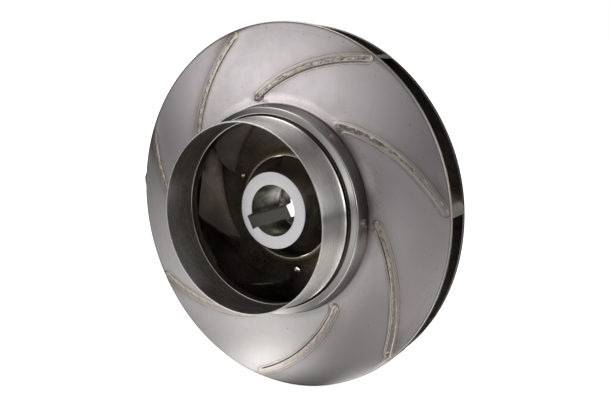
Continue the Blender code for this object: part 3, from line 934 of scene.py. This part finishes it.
def seam_columns():
    """Columns that follow the seams, close together beside each of them."""
    near = [-8.0, -6.0, -4.6, -3.6, -2.9, -2.4, -2.15, -2.0, -1.85, -1.7, -1.55, -1.3,
            -0.8, 0.0, 0.8, 1.4, 1.8, 2.2, 2.8, 3.6, 4.6, 6.0, 8.0]
    far_steps = 22
    columns = []

    def beside(distance, turn):
        def angle_at(radius):
            outer = max(radius, KNEE_RADIUS)
            return seam_angle(outer) + turn + distance / (outer * math.sin(BLADE_ANGLE))
        return angle_at

    def between(share, turn):
        edge = near[-1] * MILLIMETRE

        def angle_at(radius):
            outer = max(radius, KNEE_RADIUS)
            margin = edge / (outer * math.sin(BLADE_ANGLE))
            return seam_angle(outer) + turn + margin + (VANE_PITCH - 2.0 * margin) * share
        return angle_at

    for index in range(VANE_COUNT):
        turn = index * VANE_PITCH
        for distance in near:
            columns.append(beside(distance * MILLIMETRE, turn))
        for step in range(1, far_steps):
            columns.append(between(step / far_steps, turn))
    return columns


def seam_relief(radius, angle, inner_radius):
    """How far the sheet stands up or sinks beside a seam."""
    lag = angle - seam_angle(max(radius, KNEE_RADIUS))
    lag = (lag + VANE_PITCH / 2.0) % VANE_PITCH - VANE_PITCH / 2.0
    distance = lag * radius * math.sin(BLADE_ANGLE)
    number = round((seam_angle(max(radius, KNEE_RADIUS)) - angle) / VANE_PITCH) % VANE_COUNT
    level = radius - distance * math.cos(BLADE_ANGLE)
    along = (level - inner_radius) / math.sin(BLADE_ANGLE)
    to_end = (BEAD_OUTER_RADIUS - level) / math.sin(BLADE_ANGLE)
    edge = math.hypot(distance, max(0.0, BEAD_HALF_WIDTH - along))
    fade_in = min(1.0, max(0.0, (along + 0.0010) / 0.001))
    fade_out = min(1.0, max(0.0, (to_end - 0.0024) / 0.0016))
    groove = math.exp(-((edge + CREVICE_OFFSET) / CREVICE_HALF_WIDTH) ** 2)
    groove *= min(1.0, max(0.0, 1.0 - distance / 0.0012)) * SEAM_LOOKS[number][0]
    swell = math.exp(-(distance / 0.004) ** 2)
    return (0.00018 * swell - CREVICE_DEPTH * groove * fade_out) * fade_in


def rim_share(radius):
    """How far out on a shroud a place is: from 0 near the neck to 1 near the rim."""
    return max(0.0, min(1.0, (radius - 0.06) / 0.02))


def burr_height(angle):
    """How far the small burr on the rim stands out at one angle."""
    beyond = (math.degrees(angle) - BURR_ANGLE) % 360.0
    beyond = beyond - 360.0 if beyond > 180.0 else beyond
    reach = BURR_RISE_SPAN if beyond < 0.0 else BURR_FALL_SPAN
    share = min(1.0, abs(beyond) / reach)
    return BURR_HEIGHT * (1.0 - share) ** 0.8


def add_front_shroud(material):
    """The pressed front shroud, with its welding relief, wavy rim and a burr."""
    outer = spaced(front_outer_profile(), PROFILE_SPACING)
    inner = front_inner_profile()
    rim = OUTER_RADIUS
    chamfer = 0.00025
    rounding = fillet(outer[-2], outer[-1], (rim, 0.0), 0.0006, 4)
    inner[-1] = (rim - chamfer, inner[-1][1])
    outer_count = len(outer) - 1
    profile = outer[:-1] + rounding + [(rim, inner[-1][1] + chamfer)] + inner[::-1]
    builder = turned_builder(profile, seam_columns())
    for index, vertex in enumerate(builder.verts):
        position = index % len(profile)
        radius, height = profile[position]
        angle = math.atan2(vertex.co.z, vertex.co.x)
        sag = 0.00022 * math.sin(3.0 * angle + 0.7) * max(0.0, (radius - 0.07) / 0.03)
        lift = sag + noise.noise(vertex.co * 30.0) * 0.00008 * rim_share(radius)
        if position < outer_count:
            lift += seam_relief(radius, angle, FRONT_BEAD_INNER_RADIUS)
        vertex.co.y -= lift
        if radius > rim - BURR_DEPTH:
            spoke = Vector((vertex.co.x, 0.0, vertex.co.z)).normalized()
            vertex.co += spoke * burr_height(angle)
    new_piece("front_shroud_sheet", builder, material, "pressed_sheet", "front_shroud")


def add_back_shroud(material):
    """The dished back shroud with its balance holes."""
    inner = back_inner_profile()
    rear = offset_profile(inner, BACK_SHEET)
    rim = BACK_RIM_RADIUS
    chamfer = 0.0003
    inner[-1] = (rim - chamfer, inner[-1][1])
    rear[-1] = (rim - chamfer, rear[-1][1])
    rear[0] = (BACK_HOLE_RADIUS, rear[0][1] - 0.0008)
    rim_points = [(rim, inner[-1][1] - chamfer), (rim, rear[-1][1] + chamfer)]
    profile = inner + rim_points + rear[::-1]
    builder = turned_builder(profile, even_columns(280))
    for index, vertex in enumerate(builder.verts):
        radius = profile[index % len(profile)][0]
        vertex.co.y -= noise.noise(vertex.co * 40.0) * 0.0003 * rim_share(radius)
    piece = new_piece("back_shroud_sheet", builder, material, "pressed_sheet", "back_shroud")
    radius = BALANCE_HOLE_PITCH_RADIUS
    beyond = radius + 0.0001
    for index in range(BALANCE_HOLE_COUNT):
        angle = BALANCE_HOLE_FIRST_ANGLE + index * 2.0 * math.pi / BALANCE_HOLE_COUNT
        middle = place_at(radius, angle, back_height(radius))
        square = middle - place_at(beyond, angle, back_height(beyond))
        square = square.cross(place_at(1.0, angle + math.pi / 2.0, 0.0))
        turn = square.to_track_quat("Z", "Y").to_euler()
        bpy.ops.mesh.primitive_cylinder_add(vertices=40, radius=BALANCE_HOLE_RADIUS,
                                            depth=BACK_SHEET * 4.0, location=middle,
                                            rotation=turn)
        cut_away(piece, bpy.context.object)


def add_wear_ring(material):
    """The thin turned ring round the eye, with a small lip outside and a weld root inside."""
    lip = 0.0005
    root_radius = RING_INNER_RADIUS - 0.6 * lip
    corners = [
        (RING_FRONT_RADIUS, OVERALL_LENGTH, 0.0002),
        (RING_OUTER_RADIUS, RING_REAR_HEIGHT + 2.0 * lip, 0.0002),
        (RING_OUTER_RADIUS + lip, RING_REAR_HEIGHT + 0.4 * lip, 0.0001),
        (RING_OUTER_RADIUS, RING_REAR_HEIGHT, 0.0),
        (root_radius, RING_REAR_HEIGHT, 0.0),
        (root_radius, RING_REAR_HEIGHT + 0.2 * lip, 0.00005),
        (RING_INNER_RADIUS, RING_REAR_HEIGHT + 0.6 * lip, 0.00005),
        (RING_INNER_RADIUS, OVERALL_LENGTH, 0.0002),
    ]
    builder = turned_builder(rounded_profile(corners), even_columns(300))
    new_piece("wear_ring_turned", builder, material, "turned_ring", "wear_ring")


def add_hub(material):
    """The turned hub with its keyed and recessed bore."""
    boss_top = HUB_FLANGE_BOTTOM - 0.001
    corners = [
        (BORE_RADIUS, HUB_LENGTH, 0.00025),
        (HUB_FACE_RADIUS, HUB_LENGTH, 0.0002),
        (HUB_FLANGE_RADIUS, HUB_FLANGE_TOP, 0.0002),
        (HUB_FLANGE_RADIUS, HUB_FLANGE_BOTTOM, 0.0),
        (HUB_BOSS_RADIUS, boss_top, 0.0),
        (HUB_BOSS_RADIUS, 0.0, 0.0006),
        (BORE_RADIUS, 0.0, 0.0003),
        (BORE_RADIUS, BORE_RECESS_START, 0.0001),
        (BORE_RECESS_RADIUS, BORE_RECESS_START, 0.0),
        (BORE_RECESS_RADIUS, BORE_RECESS_END, 0.0),
        (BORE_RADIUS, BORE_RECESS_END, 0.0001),
    ]
    builder = turned_builder(rounded_profile(corners, 3), even_columns(200))
    piece = new_piece("hub_turned", builder, material, "turned_hub", "hub")
    bpy.ops.mesh.primitive_cube_add(size=1.0)
    key = bpy.context.object
    key.data.transform(Matrix.Diagonal((KEYWAY_FLOOR_RADIUS, 0.06, KEYWAY_WIDTH, 1.0)))
    key.data.transform(Matrix.Translation((KEYWAY_FLOOR_RADIUS / 2.0, -0.02, 0.0)))
    key.data.transform(Matrix.Rotation(-KEYWAY_ANGLE, 4, "Y"))
    cut_away(piece, key)


def add_vanes(material):
    """The seven swept sheet vanes."""
    front = front_inner_profile()
    back = back_inner_profile()
    edge_gap = 0.0001
    leaving_height = profile_height(front, VANE_LEAVING_RADIUS) - edge_gap

    def top_height(radius):
        if radius > VANE_LEAVING_RADIUS:
            return profile_height(front, radius) - edge_gap
        inward = VANE_LEAVING_RADIUS - max(radius, VANE_NOSE_RADIUS)
        return leaving_height + VANE_NOSE_SWEEP * inward ** 2

    for index in range(VANE_COUNT):
        turn = -index * VANE_PITCH

        def place(u, v, w):
            forward = v ** VANE_NOSE_BOW
            lead = VANE_ROOT_RADIUS + (VANE_NOSE_RADIUS - VANE_ROOT_RADIUS) * forward
            radius = lead + (VANE_RUNOUT_RADIUS - lead) * u ** 1.3
            point = point_beside(vane_angle, radius, turn, (w - 0.5) * VANE_SHEET)
            trim = VANE_BACK_TRIM_RADIUS + (VANE_FRONT_TRIM_RADIUS - VANE_BACK_TRIM_RADIUS) * v
            point *= min(1.0, trim / point.length)
            low = profile_height(back, point.length) + edge_gap
            high = top_height(point.length)
            return Vector((point.x, -(low + (high - low) * v), point.y))

        builder = slab_builder(90, 16, place)
        new_piece(f"vane_sheet_{index + 1}", builder, material, "vane_sheet",
                  f"vane_{index + 1}")


def bead_rise(u, aside, length, number, seed):
    """Height of a bead above its sheet, for a share of its length and a place aside."""
    half = BEAD_HALF_WIDTH
    soot, axis_lip, outer_lip = SEAM_LOOKS[number - 1][1:]
    past = max(0.0, half - u * length, half - (1.0 - u) * length)
    from_axis = min(1.0, math.hypot(aside, past) / half)
    crown = 1.0 - 0.5 * from_axis ** 2 - 0.5 * from_axis ** 4
    lip = max(axis_lip if aside < 0.0 else outer_lip, min(1.0, past / LIP_END_REACH))
    lip *= math.exp(-((from_axis - 0.74) / 0.18) ** 2)
    ball = math.exp(-((u * length - half) / (0.8 * half)) ** 2) * crown
    lumps = noise.noise(seed + Vector((u * 24.0, aside / half, 5.0))) * (0.3 + 0.5 * soot)
    ripples = noise.noise(seed + Vector((u * 70.0, aside / half * 2.0, 8.0))) * 0.18
    rise = BEAD_HEIGHT * crown * (1.0 + lumps + ripples) + BEAD_RIDGE * lip + BALL_HEIGHT * ball
    for seam, middle, beside, reach, width in CRATERS:
        if seam == number:
            along = ((1.0 - u) * length - middle) / reach
            rise -= CRATER_DEPTH * math.exp(-along ** 2 - ((aside - beside) / width) ** 2)
    return rise


def add_seam_beads(name, node, face, side, inner_radius, outer_radius, material):
    """Low weld beads over the vanes, on one face of a shroud."""
    for index in range(VANE_COUNT):
        turn = -index * VANE_PITCH
        seed = Vector((index * 7.3, side * 3.1, 0.0))
        outer = SHORT_BEAD_OUTER_RADIUS if index + 1 == SHORT_BEAD else outer_radius
        length = (outer - inner_radius) / math.sin(BLADE_ANGLE)

        def place(u, v, w):
            radius = inner_radius + (outer - inner_radius) * u
            to_end = min(u, 1.0 - u) * length / BEAD_HALF_WIDTH
            cap = math.sqrt(max(0.0, 1.0 - (1.0 - min(1.0, to_end)) ** 2))
            inward = (2.0 * v - 1.0) * BEAD_HALF_WIDTH * max(cap, 0.05)
            rise = bead_rise(u, -inward, length, index + 1, seed)
            wobble = 1.0 + 0.12 * noise.noise(seed + Vector((u * 8.0, 0.0, 0.0)))
            sway = 0.00025 * noise.noise(seed + Vector((u * 5.0, 9.0, 0.0)))
            sideways = inward * wobble + sway
            point = point_beside(seam_angle, radius, turn, sideways)
            lift = -BEAD_SINK + w * (BEAD_SINK + rise)
            height = profile_height(face, point.length) + side * lift
            return Vector((point.x, -height, point.y))

        builder = slab_builder(230, 18, place)
        new_piece(f"{name}_{index + 1}", builder, material, "weld_bead", f"{node}_{index + 1}")


def add_hub_bead(name, node, face, side, material):
    """The weld round the hub's flange, on one face of the back shroud."""
    count = 360
    steps = 10
    rings = []
    for column in range(count):
        angle = 2.0 * math.pi * column / count
        spoke = Vector((math.cos(angle), math.sin(angle), side))
        lump = 1.0 + 0.12 * noise.noise(spoke * 6.0) + 0.10 * noise.noise(spoke * 24.0)
        ring = []
        for step in range(steps + 1):
            share = step / steps
            radius = BACK_HOLE_RADIUS + HUB_BEAD_WIDTH * share * lump
            rise = HUB_BEAD_HEIGHT * (0.1 + 0.6 * math.sin(math.pi * share ** 0.8) * lump)
            height = profile_height(face, radius) + side * (rise - 0.0001)
            ring.append(place_at(radius, angle, height))
        for share in (0.8, 0.2):
            radius = BACK_HOLE_RADIUS + HUB_BEAD_WIDTH * share
            height = profile_height(face, radius) - side * 0.0004
            ring.append(place_at(radius, angle, height))
        rings.append(ring)
    new_piece(name, ring_builder(rings), material, "weld_bead", node)


def light_towards(nodes, direction, azimuth, elevation, spread):
    """A soft round patch of light, one at its middle, that fades with the angle from it."""
    azimuth = math.radians(azimuth)
    elevation = math.radians(elevation)
    level = math.cos(elevation)
    dot = nodes.node("ShaderNodeVectorMath", operation="DOT_PRODUCT")
    nodes.feed(dot.inputs[0], direction)
    nodes.feed(dot.inputs[1], (level * math.cos(azimuth), level * math.sin(azimuth),
                               math.sin(elevation)))
    beyond = nodes.minus(dot.outputs["Value"], 1.0)
    return nodes.math("EXPONENT", nodes.times(beyond, 1.0 / math.radians(spread) ** 2))


def white_light(nodes, strength, kind="ShaderNodeBackground"):
    """White light of a given strength."""
    light = nodes.node(kind)
    nodes.feed(light.inputs["Color"], rgb(1.0, 1.0, 1.0))
    nodes.feed(light.inputs["Strength"], strength)
    return light.outputs[0]


def seen_and_lit(nodes, lit, seen, output):
    """Shows one shader to the camera and lights the impeller with the other."""
    path = nodes.node("ShaderNodeLightPath")
    mix = nodes.node("ShaderNodeMixShader")
    for socket, source in zip(mix.inputs, (path.outputs["Is Camera Ray"], lit, seen)):
        nodes.feed(socket, source)
    nodes.feed(output.inputs["Surface"], mix.outputs[0])


def add_stage():
    """A plain white floor under the impeller, which throws soft light up at it."""
    level = -OUTER_RADIUS - FLOOR_GAP
    bpy.ops.mesh.primitive_plane_add(size=FLOOR_SIZE, location=(0.0, 0.0, level))
    floor = bpy.context.object
    floor.name = "floor"
    material = bpy.data.materials.new("floor_paper")
    material.use_nodes = True
    nodes = Nodes(material.node_tree)
    place = nodes.node("ShaderNodeTexCoord").outputs["Object"]
    direction = nodes.node("ShaderNodeVectorMath", operation="NORMALIZE")
    distance = nodes.node("ShaderNodeVectorMath", operation="LENGTH")
    nodes.feed(direction.inputs[0], place)
    nodes.feed(distance.inputs[0], place)
    total = 0.0
    for azimuth, middle, reach, spread, strength in FLOOR_LIGHTS:
        patch = light_towards(nodes, direction.outputs[0], azimuth, 0.0, spread)
        away = nodes.logarithm(nodes.over(distance.outputs["Value"], middle))
        away = nodes.times(nodes.times(away, away), -0.5 / math.log(reach) ** 2)
        patch = nodes.times(patch, nodes.math("EXPONENT", away))
        total = nodes.plus(nodes.times(patch, strength), total)
    paper = material.node_tree.nodes["Principled BSDF"]
    paper.inputs["Base Color"].default_value = rgb(0.93, 0.93, 0.93)
    paper.inputs["Roughness"].default_value = 0.9
    paper.inputs["Specular IOR Level"].default_value = 0.0
    paper.inputs["Emission Color"].default_value = rgb(1.0, 1.0, 1.0)
    paper.inputs["Emission Strength"].default_value = FLOOR_WHITE
    seen_and_lit(nodes, white_light(nodes, total, "ShaderNodeEmission"), paper.outputs[0],
                 material.node_tree.nodes["Material Output"])
    floor.data.materials.append(material)


def add_lights():
    """Soft studio light: a white room with a few soft patches of light."""
    world = bpy.data.worlds.new("studio")
    bpy.context.scene.world = world
    world.use_nodes = True
    nodes = Nodes(world.node_tree)
    direction = nodes.node("ShaderNodeTexCoord").outputs["Generated"]
    total = 0.0
    for azimuth, elevation, spread, strength in ROOM_LIGHTS:
        patch = light_towards(nodes, direction, azimuth, elevation, spread)
        total = nodes.plus(nodes.times(patch, strength), total)
    seen_and_lit(nodes, white_light(nodes, total), white_light(nodes, 1.0),
                 world.node_tree.nodes["World Output"])


def add_camera():
    """The photograph's view."""
    data = bpy.data.cameras.new("camera")
    data.sensor_width = CAMERA_SENSOR
    data.lens = CAMERA_LENS
    data.clip_start = 0.01
    camera = bpy.data.objects.new("camera", data)
    camera.location = CAMERA_PLACE
    camera.rotation_euler = (math.radians(90.0) - CAMERA_ELEVATION, 0.0, CAMERA_AZIMUTH)
    bpy.context.scene.collection.objects.link(camera)
    bpy.context.scene.camera = camera


def main():
    """Builds the looks."""
    bpy.context.scene.view_settings.view_transform = "Standard"
    add_camera()
    add_stage()
    add_lights()
    sheet = pressed_sheet_material()
    front_bead = weld_material("front_weld_steel", FRONT_BEAD_INNER_RADIUS, BEAD_OUTER_RADIUS)
    rear_bead = weld_material("rear_weld_steel", REAR_BEAD_INNER_RADIUS, REAR_BEAD_OUTER_RADIUS)
    hub_bead = hub_weld_material()
    back = back_sheet_material()
    add_front_shroud(sheet)
    add_back_shroud(back)
    add_wear_ring(turned_ring_material())
    add_hub(hub_material())
    add_vanes(vane_material())
    front_face = front_outer_profile()
    back_face = back_inner_profile()
    rear_face = offset_profile(back_face, BACK_SHEET)
    add_seam_beads("front_seam", "front_weld", front_face, 1.0, FRONT_BEAD_INNER_RADIUS,
                   BEAD_OUTER_RADIUS, front_bead)
    add_seam_beads("rear_seam", "rear_weld", rear_face, -1.0, REAR_BEAD_INNER_RADIUS,
                   REAR_BEAD_OUTER_RADIUS, rear_bead)
    add_hub_bead("hub_seam_front", "hub_weld_front", back_face, 1.0, hub_bead)
    add_hub_bead("hub_seam_rear", "hub_weld_rear", rear_face, -1.0, hub_bead)


main()
